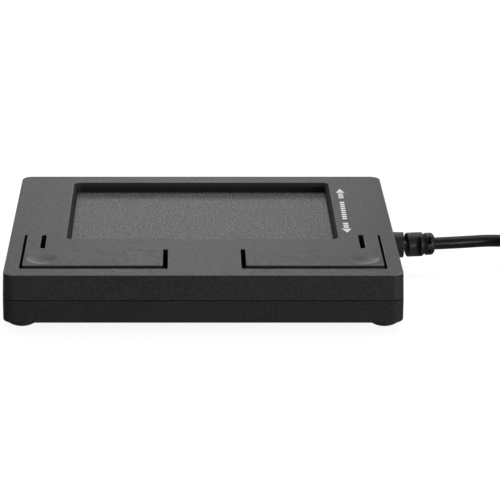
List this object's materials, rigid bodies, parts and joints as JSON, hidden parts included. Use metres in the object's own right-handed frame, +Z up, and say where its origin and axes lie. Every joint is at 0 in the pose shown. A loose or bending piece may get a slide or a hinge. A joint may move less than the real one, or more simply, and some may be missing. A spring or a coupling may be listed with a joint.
{
  "type": "wired USB touchpad",
  "caption": "Compact wired USB touchpad: flat black housing with a recessed touch surface, two L-shaped click keys in front, a moulded strain relief and a coiled USB lead.",
  "frame": {"origin": "centre of the housing in plan, at the height of the feet's flats", "axes": "+X right along the front edge, +Y from the keys to the back, +Z up"},
  "size_m": [0.1903, 0.0754, 0.013],
  "materials": {
    "housing_black": "fine textured black ABS",
    "key_black": "fine textured black ABS",
    "touch_surface": "grained dark grey polyester overlay",
    "print_white": "white pad print",
    "rubber_black": "matt black rubber",
    "pvc_black": "satin black PVC",
    "steel": "plated steel",
    "usb_steel": "nickel plated stamped shell",
    "gold": "gold flashed contacts",
    "pcb_green": "green solder mask",
    "chip_black": "moulded epoxy",
    "connector_white": "natural nylon",
    "ceramic_tan": "chip capacitors and resistors",
    "tin": "bright tin",
    "foam_grey": "foam",
    "adhesive": "transfer adhesive",
    "ffc_white": "white laminated ribbon",
    "wire_black": "insulation",
    "wire_green": "insulation",
    "wire_white": "insulation",
    "wire_red": "insulation",
    "label_silver": "blank label"
  },
  "bodies": {
    "base": {"top_cover": "housing_black", "bottom_cover": "housing_black", "touch_film": "touch_surface", "film_adhesive": "adhesive", "sensor_board": "pcb_green", "touch_chip": "chip_black", "sensor_components": "ceramic_tan", "sensor_connector": "connector_white", "board_connector": "connector_white", "flat_flex_cable": "ffc_white", "foam_pads": "foam_grey", "main_board": "pcb_green", "usb_controller_chip": "chip_black", "usb_chip_leads": "tin", "crystal": "steel", "board_components": "ceramic_tan", "cable_header": "connector_white", "header_pins": "tin", "cable_socket": "connector_white", "wire_black": "wire_black", "wire_green": "wire_green", "wire_white": "wire_white", "wire_red": "wire_red", "switch_bases": "chip_black", "switch_plates": "steel", "switch_domes": "steel", "switch_terminals": "tin", "case_screws": "steel", "board_screws": "steel", "rubber_feet": "rubber_black", "rating_label": "label_silver", "scroll_marks": "print_white", "strain_relief": "pvc_black", "cable_lead": "pvc_black", "cable_coil": "pvc_black", "coil_tie": "pvc_black", "cable_tail": "pvc_black", "plug_body": "pvc_black", "plug_shell": "usb_steel", "plug_insulator": "chip_black", "plug_contacts": "gold"},
    "left_button": {"left_button": "key_black"},
    "right_button": {"right_button": "key_black"},
    "left_switch_plunger": {"left_switch_plunger": "chip_black"},
    "right_switch_plunger": {"right_switch_plunger": "chip_black"}
  },
  "joints": [
    {"name": "left_key_press", "type": "hinge", "parent": "base", "child": "left_button", "pos_m": [-0.03755, -0.007, 0.009], "axis": [1, 0, 0], "range_deg": [0, 0.69], "stiffness_Nm_per_rad": 1.6, "springref_deg": -0.17},
    {"name": "left_plunger_travel", "type": "slide", "parent": "base", "child": "left_switch_plunger", "axis": [0, 0, -1], "range_m": [0, 0.0003]},
    {"name": "right_key_press", "type": "hinge", "parent": "base", "child": "right_button", "pos_m": [0.03755, -0.007, 0.009], "axis": [1, 0, 0], "range_deg": [0, 0.69], "stiffness_Nm_per_rad": 1.6, "springref_deg": -0.17},
    {"name": "right_plunger_travel", "type": "slide", "parent": "base", "child": "right_switch_plunger", "axis": [0, 0, -1], "range_m": [0, 0.0003]}
  ],
  "couplings": [
    {"joint": "left_plunger_travel", "follows": "left_key_press", "m_per_rad": 0.0205},
    {"joint": "right_plunger_travel", "follows": "right_key_press", "m_per_rad": 0.0205}
  ]
}
